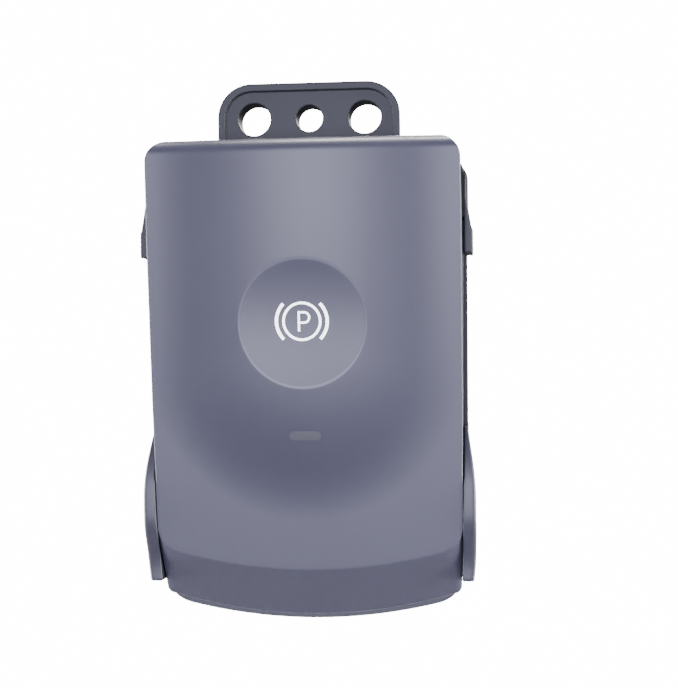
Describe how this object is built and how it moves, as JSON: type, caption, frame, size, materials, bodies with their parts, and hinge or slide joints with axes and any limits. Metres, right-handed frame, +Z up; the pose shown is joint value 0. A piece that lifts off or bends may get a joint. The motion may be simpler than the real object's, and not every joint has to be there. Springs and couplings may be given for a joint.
{
  "type": "electric parking brake switch",
  "caption": "Push and pull parking brake switch with a grey paddle, a round thumb dimple with a lit symbol, round hinge cheeks and a screw-on fixing ear.",
  "frame": {"origin": "centre of the ear's middle locating hole, on the face that is screwed down", "axes": "+X to the right seen from the driver, +Y away from the driver, out of the fixing face, +Z up"},
  "size_m": [0.0542, 0.0466, 0.0888],
  "materials": {
    "black_abs": "fine grained dark grey ABS",
    "black_pbt": "black glass-filled PBT",
    "zinc_screw": "zinc plated steel",
    "green_board": "green solder mask on glass epoxy",
    "tinned_pin": "tinned copper alloy",
    "switch_case": "moulded switch case",
    "led_case": "white lamp body with clear lens",
    "chip_epoxy": "black epoxy",
    "resistor_ceramic": "chip resistors",
    "stop_rubber": "soft black rubber",
    "pin_steel": "ground steel",
    "spring_steel": "spring wire",
    "grey_soft_paint": "satin dark grey paint on clear polycarbonate",
    "grey_back_plastic": "dark grey ABS",
    "clear_acrylic": "clear moulded acrylic",
    "white_acetal": "white acetal",
    "plunger_acetal": "red acetal"
  },
  "bodies": {
    "housing": {"housing": "black_abs", "rear_cover": "black_pbt", "cover_screws": "zinc_screw", "circuit_board": "green_board", "socket_terminals": "tinned_pin", "push_switch": "switch_case", "pull_switch": "switch_case", "symbol_led": "led_case", "window_led": "led_case", "control_chip": "chip_epoxy", "resistors": "resistor_ceramic", "push_stops": "stop_rubber", "pull_stops": "stop_rubber", "hinge_pin": "pin_steel", "left_spring": "spring_steel", "right_spring": "spring_steel"},
    "paddle": {"paddle_cover": "grey_soft_paint", "paddle_back": "grey_back_plastic", "symbol_light_guide": "clear_acrylic", "window_light_guide": "clear_acrylic", "paddle_screws": "zinc_screw", "left_bush": "white_acetal", "right_bush": "white_acetal"},
    "push_plunger": {"push_plunger": "plunger_acetal"},
    "pull_plunger": {"pull_plunger": "plunger_acetal"}
  },
  "joints": [
    {"name": "paddle_rock", "type": "hinge", "parent": "housing", "child": "paddle", "pos_m": [0, -0.001, -0.0638], "axis": [1, 0, 0], "range_deg": [-2.5, 4], "stiffness_Nm_per_rad": 1.2},
    {"name": "push_plunger_slide", "type": "slide", "parent": "housing", "child": "push_plunger", "axis": [0, -1, 0], "range_m": [-0.00046, 0.00073]},
    {"name": "pull_plunger_slide", "type": "slide", "parent": "housing", "child": "pull_plunger", "axis": [0, 1, 0], "range_m": [-0.00023, 0.00036]}
  ],
  "couplings": [
    {"joint": "push_plunger_slide", "follows": "paddle_rock", "m_per_rad": 0.01},
    {"joint": "pull_plunger_slide", "follows": "paddle_rock", "m_per_rad": 0.0048}
  ]
}
